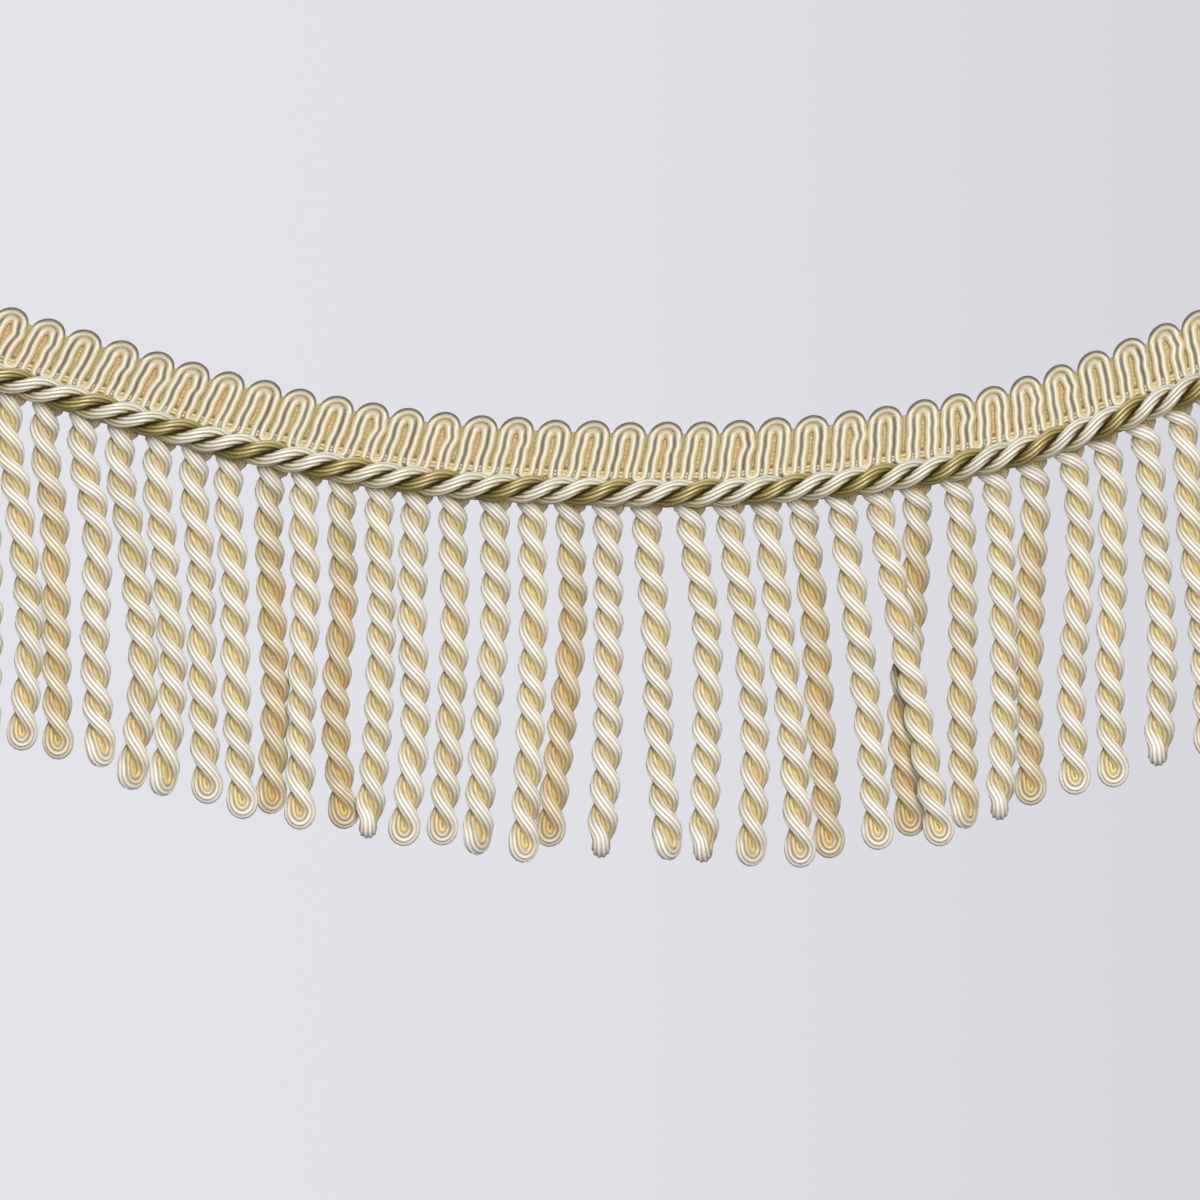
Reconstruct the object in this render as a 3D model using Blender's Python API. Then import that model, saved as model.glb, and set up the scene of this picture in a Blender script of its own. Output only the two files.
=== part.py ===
"""Bullion fringe hanging in a shallow swag.

A looped heading, a three-ply cord along its foot and a skirt of two-ply twisted ropes.
Metres, +Z up, the front towards -Y. The origin is the middle of the heading's top edge.
"""

import math

import bmesh
import bpy
import numpy as np

MM = 0.001

# Whole fringe
PITCH = 8.8 * MM  # one loop of the heading and one rope, along the cord line
LOOPS = 37
ROPES = LOOPS
GAP = 0.3 * MM

# Heading, measured up from the cord line and forward or back from its middle plane
HEADING_TOP = 16.5 * MM
HEADING_FOOT = 0.15 * MM
HEADING_BACK = 1.2 * MM
RIB_FRONT = -1.2 * MM
VALLEY_FRONT = -0.35 * MM
SCALLOP_DIP = 2.2 * MM
SCALLOP_ROUNDNESS = 2.6  # power of the fall from a loop's peak to the cusp beside it
LEG_LEAN = 3.1 * MM  # how far a loop's top stands to the right of its foot
LEG_BEND_HEIGHT = 13.0 * MM
LEG_HALF_WIDTH = 1.4 * MM
LOW_LEVEL = 5.0 * MM
LOOP_EYE_DROP = 3.6 * MM  # from a loop's top down to the eye between its two legs
FRONT_EDGE_DROP = 0.9 * MM
BACK_EDGE_DROP = 0.6 * MM
TOP_EDGE_DEPTH = -0.3 * MM

# Cord
CORD_RADIUS = 3.4 * MM
CORD_SHOULDER = 3.2 * MM
CORD_VALLEY = 2.65 * MM
CORD_TURN = 20.3 * MM
CORD_STEPS_PER_TURN = 7
CORD_DEPTH = RIB_FRONT - GAP - CORD_RADIUS
CORD_PHASE = 1.7 * MM  # where a ply crosses the front, from the middle

# Foot strip of the skirt, measured down from the cord line
STRIP_TOP = 0.15 * MM
STRIP_BOTTOM = 3.2 * MM
STRIP_FRONT = -0.9 * MM
STRIP_BACK = 1.2 * MM
STRIP_STEP = PITCH

# Ropes
ROPE_HALF_WIDTH = 3.6 * MM  # across the two plies
ROPE_HALF_DEPTH = 2.75 * MM  # across one ply
ROPE_START = 1.0 * MM  # below the cord line, inside the strip
ROPE_SHOW = 3.4 * MM  # below the cord line, at the cord's lower edge
ROPE_DEPTH = 0.15 * MM
ROPE_HALF_TURNS = 9
ROPE_STEPS_PER_HALF_TURN = 3
LENS_DROP = 4.6 * MM  # from the cord's edge to the first place where both plies face front
ROOT_SCALE = 0.35
ROOT_LENGTH = 3.2 * MM
DEPTH_EASE = 0.4  # share of the drop over which a rope comes forward or goes back
TIP_SCALES = ((1.8 * MM, 0.92), (0.0, 0.5))  # distance above the tip, scale of the section
LOOP_SCALE = 1.06  # at the widest place of the end loop

# The cord line: across from the middle and up from it, in millimetres
CORD_LINE = (
    (-168.0, 37.6),
    (-140.0, 27.5),
    (-120.0, 21.3),
    (-80.0, 9.9),
    (-40.0, 2.6),
    (0.0, 0.0),
    (25.0, -0.3),
    (45.0, 0.8),
    (65.0, 2.9),
    (85.0, 6.1),
    (105.0, 11.0),
    (125.0, 18.4),
    (145.0, 26.4),
    (168.0, 36.2),
)

# How each rope hangs, from left to right, in millimetres and degrees:
# shift along the cord line from its even place; drop below the cord's edge; sideways lean
# at one third, two thirds and all of the drop; depth (minus is forward); turn of its end loop
ROPE_COLUMNS = ("shift", "drop", "third", "two_thirds", "tip", "depth", "end_turn")
ROPE_TABLE = (
    (0.0, 80.2, 1.8, 2.4, 3.0, -0.6, 30.0),
    (0.2, 80.9, 2.3, 3.2, 2.3, 0.4, 0.0),
    (-0.6, 81.4, 2.8, 3.7, 2.8, 0.0, 20.0),
    (0.0, 81.6, 2.1, 4.4, 2.3, -1.8, 0.0),
    (0.0, 81.1, 1.4, 1.8, 2.3, 2.6, 0.0),
    (0.2, 80.2, 2.8, 2.3, 3.9, -0.6, 40.0),
    (0.6, 82.8, 2.1, 4.6, 1.6, 1.6, 30.0),
    (0.9, 81.6, 0.9, 2.8, 0.2, -1.8, 45.0),
    (0.7, 81.1, 0.9, 1.2, 2.5, 0.8, 0.0),
    (0.0, 82.5, 0.7, 1.2, 2.8, -0.5, 0.0),
    (0.9, 79.3, -0.5, 0.5, -0.7, 4.0, 20.0),
    (0.1, 81.1, -0.2, -1.2, -1.6, -1.0, 0.0),
    (0.0, 79.5, -0.2, -2.1, 0.2, 3.6, 10.0),
    (-0.2, 80.2, 0.2, -0.7, -3.2, -1.2, 90.0),
    (-0.6, 80.7, -1.2, -0.5, -3.5, -0.4, 0.0),
    (-1.0, 79.8, 0.2, -0.9, -3.0, 1.0, 0.0),
    (-0.3, 81.1, 0.0, -2.5, -4.4, -0.4, 45.0),
    (-0.5, 82.5, 0.2, -0.7, -2.3, -1.5, 20.0),
    (-0.7, 78.6, 0.7, -2.1, -5.1, 3.6, 0.0),
    (-0.7, 80.7, 0.0, -0.2, -1.8, 0.0, 90.0),
    (-0.7, 81.1, 2.1, 3.0, 5.3, 0.4, 45.0),
    (0.4, 81.6, 3.9, 3.9, 3.0, -0.4, 80.0),
    (0.6, 82.8, 3.9, 6.0, 4.9, -0.8, 20.0),
    (0.3, 83.5, 3.2, 6.2, 8.1, -0.4, 0.0),
    (-0.1, 82.1, 2.8, 4.4, 6.5, 4.0, 0.0),
    (-0.1, 80.9, 3.5, 6.7, 8.8, 0.4, 0.0),
    (-0.3, 81.1, 4.6, 9.7, 14.6, -3.4, 0.0),
    (-0.4, 80.2, -0.5, -3.0, -0.9, 4.4, 0.0),
    (0.2, 80.0, 1.6, 1.4, 2.1, 2.2, 45.0),
    (0.1, 79.8, 2.1, 2.5, 1.2, -1.8, 90.0),
    (0.2, 78.6, 0.0, -0.7, 0.0, 3.4, 0.0),
    (0.3, 78.8, 2.5, 0.5, 1.4, -0.4, 0.0),
    (-0.3, 80.0, 2.3, 1.6, 2.5, 0.4, 0.0),
    (0.2, 78.4, 3.2, 5.1, 3.9, -0.4, 80.0),
    (0.6, 79.8, 3.0, 6.0, 7.6, 0.4, 0.0),
    (0.2, 78.8, 2.8, 4.8, 7.0, -0.6, 30.0),
    (0.0, 79.3, 2.6, 5.2, 7.5, 0.6, 0.0),
)

# Colours in linear light, and roughness
IVORY = (0.74, 0.66, 0.46, 1.0)
SILVER_IVORY = (0.68, 0.65, 0.56, 1.0)
CREAM = (0.72, 0.62, 0.40, 1.0)
SATIN_ROUGHNESS = 0.45

# Fineness of the sampled lines and of the weld at a swept mesh's caps
LINE_SAMPLES = 1345
ROPE_SAMPLES = 400
WELD_DISTANCE = 0.01 * MM


def hermite(x, xs, ys):
    """Smooth curve through a table's points."""
    slopes = np.gradient(ys, xs)
    i = int(np.clip(np.searchsorted(xs, x) - 1, 0, len(xs) - 2))
    width = xs[i + 1] - xs[i]
    t = (x - xs[i]) / width
    start = (1 + 2 * t) * (1 - t) ** 2 * ys[i] + t * (1 - t) ** 2 * width * slopes[i]
    end = t * t * (3 - 2 * t) * ys[i + 1] + t * t * (t - 1) * width * slopes[i + 1]
    return start + end


class CordLine:
    """The swag of the cord's centre line, by distance along it from the middle."""

    def __init__(self):
        across, rise = np.array(CORD_LINE).T * MM
        self.x = np.linspace(across[0], across[-1], LINE_SAMPLES)
        self.z = np.array([hermite(x, across, rise) for x in self.x])
        steps = np.hypot(np.diff(self.x), np.diff(self.z))
        along = np.concatenate(([0.0], np.cumsum(steps)))
        self.along = along - np.interp(0.0, self.x, along)
        self.slope = np.gradient(self.z, self.x)

    def point(self, along, above=0.0, depth=0.0):
        """A point at a distance along the line, set off square to it in the fringe's plane."""
        x = np.interp(along, self.along, self.x)
        z = np.interp(along, self.along, self.z) - HEADING_TOP
        angle = math.atan(np.interp(along, self.along, self.slope))
        return (x - above * math.sin(angle), depth, z + above * math.cos(angle))


LINE = CordLine()
FOOT_LEFT = -LOOPS * PITCH / 2 - LEG_LEAN
FOOT_RIGHT = LOOPS * PITCH / 2 - LEG_LEAN


def clear_scene():
    for old in list(bpy.data.objects):
        bpy.data.objects.remove(old, do_unlink=True)


def new_collection(name):
    collection = bpy.data.collections.new(name)
    bpy.context.scene.collection.children.link(collection)
    return collection


def yarn_material(name, colour):
    material = bpy.data.materials.new(name)
    material.use_nodes = True
    shader = material.node_tree.nodes["Principled BSDF"]
    shader.inputs["Base Color"].default_value = colour
    shader.inputs["Roughness"].default_value = SATIN_ROUGHNESS
    shader.inputs["Metallic"].default_value = 0.0
    return material


def outline_curve(name, points, collection):
    """A closed outline that gives a swept curve its section."""
    data = bpy.data.curves.new(name, "CURVE")
    data.dimensions = "2D"
    spline = data.splines.new("POLY")
    spline.points.add(len(points) - 1)
    for point, (across, up) in zip(spline.points, points):
        point.co = (across, up, 0.0, 1.0)
    spline.use_cyclic_u = True
    guide = bpy.data.objects.new(name, data)
    guide.hide_render = True
    guide.display_type = "WIRE"
    collection.objects.link(guide)
    return guide


def swept_mesh(name, outline, places, tilts, scales, rotation=(0.0, 0.0, 0.0)):
    """Sweep an outline through places, with a tilt and a scale at each, as a closed mesh."""
    data = bpy.data.curves.new(name, "CURVE")
    data.dimensions = "3D"
    data.twist_mode = "Z_UP"
    data.bevel_mode = "OBJECT"
    data.bevel_object = outline
    data.use_fill_caps = True
    spline = data.splines.new("POLY")
    spline.points.add(len(places) - 1)
    for point, place, tilt, scale in zip(spline.points, places, tilts, scales):
        point.co = (*place, 1.0)
        point.tilt = tilt
        point.radius = scale
    curve = bpy.data.objects.new(name, data)
    curve.rotation_euler = rotation
    bpy.context.scene.collection.objects.link(curve)
    bpy.context.view_layer.update()
    evaluated = curve.evaluated_get(bpy.context.evaluated_depsgraph_get())
    mesh = bpy.data.meshes.new_from_object(evaluated)
    mesh.transform(curve.matrix_world)
    bpy.data.objects.remove(curve, do_unlink=True)
    close_mesh(mesh)
    return mesh


def close_mesh(mesh):
    """Weld the loose end caps of a swept mesh and turn its faces outward."""
    work = bmesh.new()
    work.from_mesh(mesh)
    bmesh.ops.remove_doubles(work, verts=work.verts, dist=WELD_DISTANCE)
    bmesh.ops.recalc_face_normals(work, faces=work.faces)
    work.to_mesh(mesh)
    work.free()


def node_object(name, mesh, material, collection):
    mesh.name = name
    mesh.materials.clear()
    mesh.materials.append(material)
    node = bpy.data.objects.new(name, mesh)
    collection.objects.link(node)
    return node


def leg_shift(above):
    """How far a loop's leg stands to the left of its top, at a height above the cord line."""
    t = min(max(above / LEG_BEND_HEIGHT, 0.0), 1.0)
    return -LEG_LEAN * (1.0 - t * t * (3.0 - 2.0 * t))


def heading_section(along, offset, on_rib):
    """The heading's section at a place along its top, offset being from that loop's middle."""
    top = HEADING_TOP - SCALLOP_DIP * abs(offset / (PITCH / 2)) ** SCALLOP_ROUNDNESS
    front = RIB_FRONT if on_rib else VALLEY_FRONT
    at_cusp = math.isclose(abs(offset), PITCH / 2)
    top_front = VALLEY_FRONT if at_cusp else RIB_FRONT
    levels = (
        (HEADING_FOOT, front),
        (LOW_LEVEL, front),
        (top - LOOP_EYE_DROP, front),
        (top - FRONT_EDGE_DROP, top_front),
        (top, TOP_EDGE_DEPTH),
        (top - BACK_EDGE_DROP, HEADING_BACK),
        (HEADING_FOOT, HEADING_BACK),
    )
    return [LINE.point(along + leg_shift(above), above, depth) for above, depth in levels]


def heading_stations():
    """Places along the top edge: both shoulders of each leg and the valleys beside them."""
    leg_middle = PITCH / 4
    offsets = (
        (-PITCH / 2, False),
        (-leg_middle - LEG_HALF_WIDTH, True),
        (-leg_middle + LEG_HALF_WIDTH, True),
        (0.0, False),
        (leg_middle - LEG_HALF_WIDTH, True),
        (leg_middle + LEG_HALF_WIDTH, True),
    )
    first = -(LOOPS - 1) / 2 * PITCH
    stations = []
    for loop in range(LOOPS):
        middle = first + loop * PITCH
        stations += [(middle + offset, offset, on_rib) for offset, on_rib in offsets]
    stations.append((first + (LOOPS - 0.5) * PITCH, PITCH / 2, False))
    return stations


def heading_mesh():
    """Loft the ribbed, scalloped band from section to section."""
    work = bmesh.new()
    rings = []
    for along, offset, on_rib in heading_stations():
        rings.append([work.verts.new(point) for point in heading_section(along, offset, on_rib)])
    count = len(rings[0])
    for near, far in zip(rings, rings[1:]):
        for i in range(count):
            j = (i + 1) % count
            work.faces.new((near[i], near[j], far[j], far[i]))
    work.faces.new(rings[0])
    work.faces.new(rings[-1])
    bmesh.ops.recalc_face_normals(work, faces=work.faces)
    mesh = bpy.data.meshes.new("heading")
    work.to_mesh(mesh)
    work.free()
    return mesh


def cord_outline():
    """Three rounded lobes, one for each ply."""
    radii = (CORD_RADIUS, CORD_SHOULDER, CORD_VALLEY, CORD_SHOULDER) * 3
    points = []
    for i, radius in enumerate(radii):
        angle = 2 * math.pi * i / len(radii)
        points.append((radius * math.sin(angle), radius * math.cos(angle)))
    return points


def cord_mesh(guides):
    outline = outline_curve("cord_outline", cord_outline(), guides)
    steps = round((FOOT_RIGHT - FOOT_LEFT) / CORD_TURN * CORD_STEPS_PER_TURN)
    alongs = [FOOT_LEFT + (FOOT_RIGHT - FOOT_LEFT) * i / steps for i in range(steps + 1)]
    places = [LINE.point(along, 0.0, CORD_DEPTH) for along in alongs]
    # the outline's first lobe points up, and a quarter turn brings it to the front
    tilts = [math.pi / 2 - 2 * math.pi * (along - CORD_PHASE) / CORD_TURN for along in alongs]
    return swept_mesh("cord", outline, places, tilts, [1.0] * len(places))


def strip_mesh(guides):
    """The narrow woven foot that holds the ropes' roots."""
    half_depth = (STRIP_BACK - STRIP_FRONT) / 2
    half_height = (STRIP_BOTTOM - STRIP_TOP) / 2
    corners = (
        (-half_depth, -half_height),
        (half_depth, -half_height),
        (half_depth, half_height),
        (-half_depth, half_height),
    )
    outline = outline_curve("strip_outline", corners, guides)
    middle_depth = (STRIP_BACK + STRIP_FRONT) / 2
    middle_height = -(STRIP_BOTTOM + STRIP_TOP) / 2
    steps = round((FOOT_RIGHT - FOOT_LEFT) / STRIP_STEP)
    alongs = [FOOT_LEFT + (FOOT_RIGHT - FOOT_LEFT) * i / steps for i in range(steps + 1)]
    places = [LINE.point(along, middle_height, middle_depth) for along in alongs]
    count = len(places)
    return swept_mesh("strip", outline, places, [0.0] * count, [1.0] * count)


def rope_line(index, row):
    """A rope's centre line as columns of distance below the cord's edge, x, y and z."""
    along = (index - (ROPES - 1) / 2) * PITCH - PITCH / 2 + row["shift"] * MM
    start = LINE.point(along, -ROPE_START)
    show = LINE.point(along, -ROPE_SHOW)
    drop = row["drop"] * MM
    leans = [row[key] * MM for key in ("third", "two_thirds", "tip")]
    falls = [start[2] - show[2], 0.0, -drop / 3, -2 * drop / 3, -drop]
    sides = [start[0] - show[0], 0.0, *leans]
    fall = np.linspace(falls[0], falls[-1], ROPE_SAMPLES)
    side = np.array([hermite(-f, -np.array(falls), np.array(sides)) for f in fall])
    share = np.clip(-fall / drop / DEPTH_EASE, 0.0, 1.0)
    depth = ROPE_DEPTH + row["depth"] * MM * (1.0 - (1.0 - share) ** 2)
    steps = np.sqrt(np.diff(fall) ** 2 + np.diff(side) ** 2 + np.diff(depth) ** 2)
    below = np.concatenate(([0.0], np.cumsum(steps)))
    below -= np.interp(0.0, -fall, below)
    return below, show[0] + side, depth, show[2] + fall


def rope_mesh(index, row, outline):
    """One twisted rope: narrow at its root, a wider loop at its tip."""
    below, xs, ys, zs = rope_line(index, row)
    length = below[-1]
    twisted = length - 2 * LENS_DROP
    half_turns = ROPE_HALF_TURNS + row["end_turn"] / 180
    count = ROPE_HALF_TURNS * ROPE_STEPS_PER_HALF_TURN
    step = twisted / count
    stations = [LENS_DROP + step * i for i in range(count + 1)]
    stations = [below[0], LENS_DROP - 2 * step, LENS_DROP - step] + stations
    rate = math.pi * half_turns / twisted
    # a ply crosses the front from its upper left to its lower right
    tilts = [rate * (LENS_DROP - at) for at in stations]
    scales = []
    for at in stations:
        share = min((at - below[0]) / ROOT_LENGTH, 1.0)
        scales.append(ROOT_SCALE + (1.0 - ROOT_SCALE) * share)
    scales[-1] = LOOP_SCALE
    for above_tip, scale in TIP_SCALES:
        stations.append(length - above_tip)
        tilts.append(tilts[-1])
        scales.append(scale)
    places = []
    for at in stations:
        x, y, z = (float(np.interp(at, below, values)) for values in (xs, ys, zs))
        # the curve runs along its own X and is turned to hang down
        places.append((-z, y, x))
    return swept_mesh(f"rope_{index + 1:02d}", outline, places, tilts, scales, (0.0, math.pi / 2, 0.0))


def skirt_object(material, collection, guides):
    """All ropes joined to the foot strip as one solid."""
    corners = (
        (ROPE_HALF_DEPTH, 0.0),
        (0.0, ROPE_HALF_WIDTH),
        (-ROPE_HALF_DEPTH, 0.0),
        (0.0, -ROPE_HALF_WIDTH),
    )
    outline = outline_curve("rope_outline", corners, guides)
    ropes = bmesh.new()
    for index, values in enumerate(ROPE_TABLE):
        mesh = rope_mesh(index, dict(zip(ROPE_COLUMNS, values)), outline)
        ropes.from_mesh(mesh)
        bpy.data.meshes.remove(mesh)
    all_ropes = bpy.data.meshes.new("rope_bodies")
    ropes.to_mesh(all_ropes)
    ropes.free()
    joined = bpy.data.objects.new("rope_bodies", all_ropes)
    joined.hide_render = True
    joined.display_type = "WIRE"
    guides.objects.link(joined)
    skirt = node_object("skirt", strip_mesh(guides), material, collection)
    union = skirt.modifiers.new("ropes", "BOOLEAN")
    union.operation = "UNION"
    union.solver = "EXACT"
    union.object = joined
    return skirt


def main():
    clear_scene()
    fringe = new_collection("bullion_fringe")
    guides = new_collection("guides")
    node_object("heading", heading_mesh(), yarn_material("heading_yarn", IVORY), fringe)
    node_object("cord", cord_mesh(guides), yarn_material("cord_yarn", SILVER_IVORY), fringe)
    skirt_object(yarn_material("rope_yarn", CREAM), fringe, guides)


main()
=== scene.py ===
"""Looks of the bullion fringe: twisted ropes, a three-ply cord and a looped heading on its ground.

Metres, +Z up, the front towards -Y. The cord line, the table of ropes and the loops' lean are
those of the solids, so every thread lies where its solid is.
"""

import math
from types import SimpleNamespace

import bpy
import numpy as np
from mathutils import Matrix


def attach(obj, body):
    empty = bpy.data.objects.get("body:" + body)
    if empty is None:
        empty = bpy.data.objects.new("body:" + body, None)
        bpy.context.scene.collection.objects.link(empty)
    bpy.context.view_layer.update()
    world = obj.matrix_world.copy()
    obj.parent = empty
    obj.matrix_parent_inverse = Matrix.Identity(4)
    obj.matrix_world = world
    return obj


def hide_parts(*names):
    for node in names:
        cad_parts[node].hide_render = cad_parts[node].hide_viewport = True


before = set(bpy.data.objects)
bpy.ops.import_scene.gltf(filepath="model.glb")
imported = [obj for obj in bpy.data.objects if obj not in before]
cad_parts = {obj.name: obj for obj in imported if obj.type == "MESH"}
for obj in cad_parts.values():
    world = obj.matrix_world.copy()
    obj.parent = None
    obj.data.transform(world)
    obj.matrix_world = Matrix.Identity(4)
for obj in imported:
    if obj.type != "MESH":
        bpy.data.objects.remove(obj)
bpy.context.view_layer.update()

MM = 0.001
TURN = 2 * math.pi
FRONT = np.array((0.0, -1.0, 0.0))
FIBRE_SHIFT = 400.0  # how far apart the noise of two pieces may lie, in millimetres

# Whole fringe, as in the solids
PITCH = 8.8 * MM
LOOPS = 37
ROPES = LOOPS
HEADING_TOP = 16.5 * MM
LEG_LEAN = 3.1 * MM
FOOT_LEFT = -LOOPS * PITCH / 2 - LEG_LEAN
FOOT_RIGHT = LOOPS * PITCH / 2 - LEG_LEAN

# Looped heading: a double yarn, each yarn measured at its centre from the loop's middle
YARN_RADIUS = 0.93 * MM
YARN_DEPTH = -0.5 * MM
OUTER_HALF = 3.15 * MM
INNER_HALF = 1.3 * MM
OUTER_SPRING = 12.9 * MM  # height above the cord line where the outer arch starts
OUTER_RISE = 2.75 * MM
INNER_SPRING = 12.3 * MM
INNER_RISE = 1.5 * MM
ARCH_WIDENING = 0.4  # how much broader the inner yarn lies in its arch
ARCH_SINK = 0.3 * MM
OUTER_FOOT = 4.1 * MM
OUTER_FOOT_DROP = 1.2 * MM
INNER_FOOT = 4.0 * MM
INNER_FOOT_DROP = 2.8 * MM
BULGE = 0.35 * MM  # how far a right leg swells outward below its arch
BULGE_HEIGHT = 10.6 * MM
BULGE_REACH = 1.2 * MM
YARN_SIDES = 14
YARN_STEP = 0.55 * MM
YARN_SWAY = 0.06 * MM  # each yarn's own wander along the swag
YARN_SWAY_RATE = 2.9  # radians of it for one loop
OUTER_SWAY_PHASE = 1.3
ARCH_FROM = 12.6 * MM  # height where the legs become arches
ARCH_BLEND = 1.0 * MM

# Unevenness of the loops: drawn once for each, then scaled
LOOP_UNEVEN = np.random.default_rng(11).uniform(-1.0, 1.0, (LOOPS, 3))
LOOP_SHIFT = 0.2 * MM
LOOP_LIFT = 0.16 * MM
LOOP_SWELL = 0.6
LEG_SWAY = 0.15 * MM
LEG_SWAY_LENGTH = 6.4 * MM
LEG_SWAY_START = 0.3  # in turns, with its spread from leg to leg
LEG_SWAY_SPREAD = 0.5
LOOP_MIDDLES = (np.arange(LOOPS) - (LOOPS - 1) / 2) * PITCH + LOOP_SHIFT * LOOP_UNEVEN[:, 0]

# How strongly the yarns' sides take on painted grey shade and painted ochre shade, in the arches
CROWN_SHADE = 1.5  # the outer yarn's dark upper rim
CROWN_EDGE = 0.25
CROWN_REACH = 0.65
OUTER_ARCH_PAINTED_OCHRE = 0.7
INNER_ARCH_FADE = 0.7
INNER_ARCH_SHADE = 0.48
INNER_ARCH_PAINTED_OCHRE = 0.42

# Woven ground behind the loops
GROUND_FOOT = 0.4 * MM
GROUND_TOP = 13.7 * MM
GROUND_RIBS = 13
GROUND_FRONT = 0.2 * MM
GROUND_BACK = 1.0 * MM
RIB_RELIEF = 0.16 * MM
GROUND_STEP = 0.8 * MM
WEFT_PITCH = 2.2 * MM
WEFT_WAVE = 0.25  # share of a rib's relief that rises and falls with the weft
RIB_PLACES = 4  # points across one rib
RIB_FULLNESS = 0.7
BETWEEN_CONTRAST = 1.2

# Two warp threads that bind the legs just above the cord
WARP_HEIGHTS = (3.75 * MM, 4.5 * MM)
WARP_RADIUS = 0.4 * MM
WARP_DEPTH = -0.62 * MM
WARP_WAVE = 0.1 * MM
WARP_SIDES = 8
WARP_STEP = 0.55 * MM
WARP_END = 1.0 * MM  # how far short of the cut edges they stop
WARP_WANDER = 0.05 * MM
WARP_WANDER_RATE = 1.7  # radians for each millimetre
WARP_BEAT = 0.15

# Cord
CORD_RADIUS = 3.4 * MM
CORD_DEPTH = -4.9 * MM
CORD_TURN = 20.3 * MM
CORD_PHASE = 1.7 * MM
CORD_PLIES = 3
CORD_PLY_RADIAL = 1.62 * MM
CORD_PLY_ACROSS = 1.5 * MM
CORD_THREADS = 8
CORD_THREAD_DEPTH = 1.35
CORD_THREAD_LAY = 11 / 9  # turns of a ply's threads back against one turn of the cord
CORD_RINGS_PER_TURN = 22
HOLLOW_HEIGHT = 1.2 * MM  # beyond this above or below its centre, the painted shade of the cord's hollows fades
HOLLOW_SHADE_FADING = 0.6
UNDERSIDE_PAINTED_SHADE = 0.2
CUT_END_TONE = 0.1

# Foot strip of the skirt
STRIP_TOP = 0.15 * MM
STRIP_BOTTOM = 3.2 * MM
STRIP_FRONT = -0.75 * MM
STRIP_BACK = 1.0 * MM
STRIP_RIBS = 3

# Where the two bands lie in their noise
GROUND_FIBRE_SHIFT = 0.0
STRIP_FIBRE_SHIFT = 50.0

# Ropes
ROPE_RADIUS = 3.55 * MM
ROPE_START = 1.0 * MM
ROPE_SHOW = 3.4 * MM  # distance below the cord's centre from which the table's sizes count
ROPE_DEPTH = 0.15 * MM
ROPE_HALF_TURNS = 9
LENS_DROP = 4.6 * MM  # from either end to the first opening between the plies
ROOT_TURN = 5.4 * MM  # length of the first half turn, where the plies come together
ROOT_FULLNESS = 0.7
ROOT_SPREAD = 1.3 * MM  # how much farther apart the plies leave the strip
ROOT_FLATNESS = 0.25
ROOT_LENGTH = 5.0 * MM
ROOT_SHADE_LENGTH = 5.2 * MM
FIRST_PLY_ROOT_SHADE = 0.35
DEPTH_EASE = 0.4  # share of the drop in which a rope reaches its depth
PLY_RADIAL = 2.03 * MM
PLY_ACROSS = 1.92 * MM
PLY_OFFSET = ROPE_RADIUS - PLY_RADIAL
LOOP_OFFSET = 1.7 * MM
LOOP_HEIGHT = 2.5 * MM
LOOP_EASE = 2.0 * MM
LOOP_FULLNESS = 0.12
LOOP_HANG = 0.2 * MM
LOOP_SHADE = 0.2
LOOP_OPENING = 3.2 * MM
ROPE_THREADS = 10
ROPE_THREAD_LAY = 0.5  # turns of a ply's threads back against one turn of the rope
ROPE_RINGS_PER_TURN = 14
ROPE_END_RINGS = 6
BEND_RINGS = 9
FULLNESS_UNEVEN = 0.03
TWIST_UNEVEN = 0.24  # radians by which the twist runs ahead and behind
TWIST_UNEVEN_LENGTH = 31.0 * MM
BEHIND_FROM = 0.8 * MM  # ropes that hang farther back than this get painted shade
BEHIND_FULL = 4.0 * MM

# A thread's outline within its share of the ply: place round it, reach outward and depth of groove
THREAD_PLACES = (0.0, 0.16, 0.40, 0.60, 0.84)
THREAD_PROFILE = (0.83, 0.92, 0.99, 0.99, 0.92)
THREAD_GROOVE = (1.0, 0.6, 0.0, 0.0, 0.6)

# The cord line: across from the middle and up from it, in millimetres
CORD_LINE = (
    (-168.0, 37.6),
    (-140.0, 27.5),
    (-120.0, 21.3),
    (-80.0, 9.9),
    (-40.0, 2.6),
    (0.0, 0.0),
    (25.0, -0.3),
    (45.0, 0.8),
    (65.0, 2.9),
    (85.0, 6.1),
    (105.0, 11.0),
    (125.0, 18.4),
    (145.0, 26.4),
    (168.0, 36.2),
)

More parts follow.
